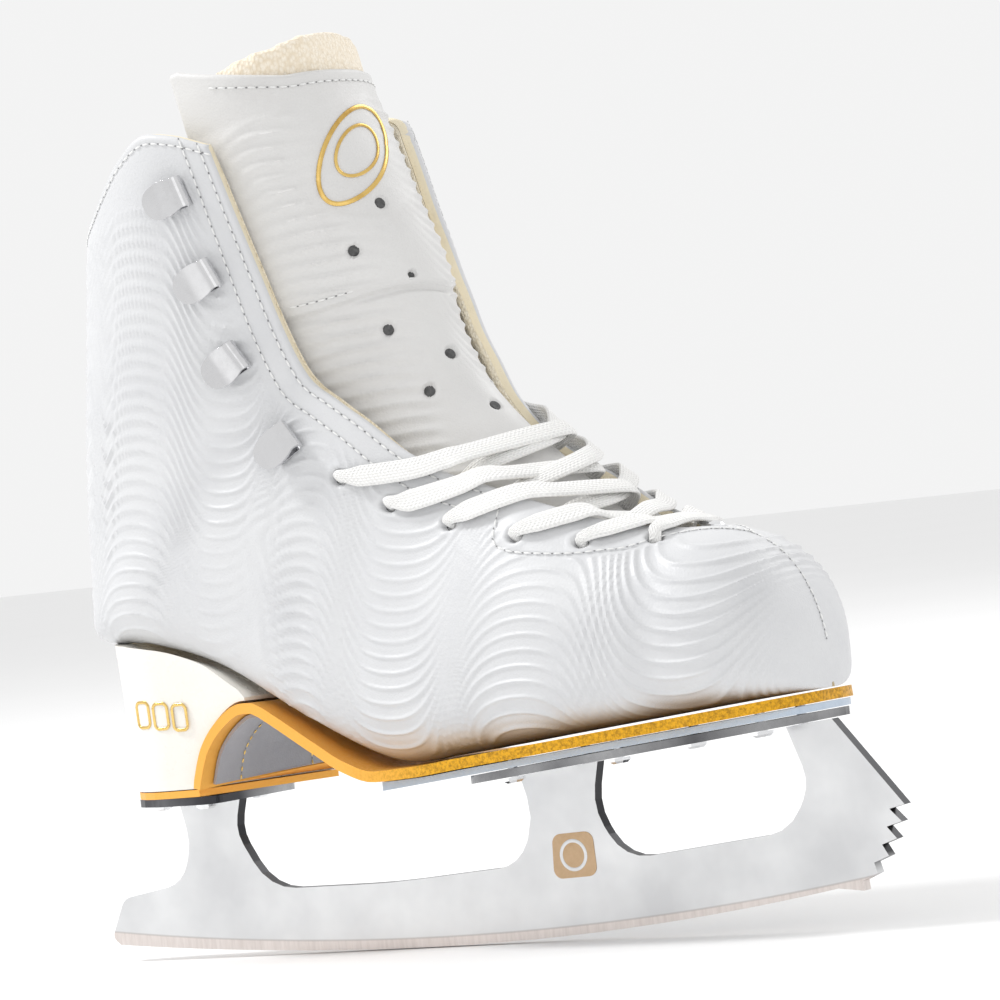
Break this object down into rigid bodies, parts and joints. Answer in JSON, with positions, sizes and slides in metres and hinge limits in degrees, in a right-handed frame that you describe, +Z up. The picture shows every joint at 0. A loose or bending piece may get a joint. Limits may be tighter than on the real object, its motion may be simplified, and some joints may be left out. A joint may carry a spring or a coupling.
{
  "type": "figure skate",
  "caption": "Lace-up leather figure skate boot with eyelets, lace hooks, padded tongue and stacked heel, screwed to a steel figure blade with toe picks.",
  "frame": {"origin": "on the ice under the middle of the bounding box", "axes": "+X to the toe, +Y to the medial side of a right foot, +Z up from the ice"},
  "size_m": [0.2964, 0.0982, 0.2885],
  "materials": {
    "white_leather": "white leather embossed with fine contour lines, smooth at the apron, facings and collar",
    "cream_lining": "cream knitted lining over foam",
    "gold_edge": "gold-dyed leather edge, speckled and slightly metallic",
    "heel_enamel": "stacked leather with smooth cream lacquer",
    "grey_leather": "grey edge-dressed leather",
    "outsole_leather": "pale blue-grey waxed sole leather",
    "fibre_board": "brown fibre board",
    "cork": "natural cork",
    "chrome": "polished chrome",
    "blade_steel": "satin steel with a mirror ground edge",
    "lace_cotton": "flat white woven cotton"
  },
  "bodies": {
    "boot": {"aglet_lateral": "chrome", "aglet_medial": "chrome", "blade_runner": "blade_steel", "breast_cover": "grey_leather", "cork_filler": "cork", "eyelet_lateral_1": "chrome", "eyelet_lateral_2": "chrome", "eyelet_lateral_3": "chrome", "eyelet_lateral_4": "chrome", "eyelet_lateral_5": "chrome", "eyelet_lateral_6": "chrome", "eyelet_medial_1": "chrome", "eyelet_medial_2": "chrome", "eyelet_medial_3": "chrome", "eyelet_medial_4": "chrome", "eyelet_medial_5": "chrome", "eyelet_medial_6": "chrome", "footbed": "cream_lining", "heel_block": "heel_enamel", "heel_lift": "gold_edge", "heel_plate": "chrome", "heel_screw_1": "chrome", "heel_screw_2": "chrome", "heel_screw_3": "chrome", "heel_screw_4": "chrome", "insole_board": "fibre_board", "lace": "lace_cotton", "lace_hank_lateral": "lace_cotton", "lace_hank_medial": "lace_cotton", "lace_hook_lateral_1": "chrome", "lace_hook_lateral_2": "chrome", "lace_hook_lateral_3": "chrome", "lace_hook_lateral_4": "chrome", "lace_hook_medial_1": "chrome", "lace_hook_medial_2": "chrome", "lace_hook_medial_3": "chrome", "lace_hook_medial_4": "chrome", "lace_tail_lateral": "lace_cotton", "lace_tail_medial": "lace_cotton", "lining_lateral": "cream_lining", "lining_medial": "cream_lining", "outsole": "outsole_leather", "quarter_lateral": "white_leather", "quarter_medial": "white_leather", "shank": "blade_steel", "sole_plate": "chrome", "sole_screw_1": "chrome", "sole_screw_2": "chrome", "sole_screw_3": "chrome", "sole_screw_4": "chrome", "sole_screw_5": "chrome", "sole_screw_6": "chrome", "tongue_lower": "white_leather", "vamp_rivet": "chrome", "welt": "gold_edge"},
    "tongue": {"tongue_upper": "white_leather", "tongue_pad": "cream_lining"}
  },
  "joints": [
    {"name": "tongue_hinge", "type": "hinge", "parent": "boot", "child": "tongue", "pos_m": [-0.0328, -0.0021, 0.199], "axis": [0, 1, 0], "range_deg": [-20, 2.5]}
  ]
}
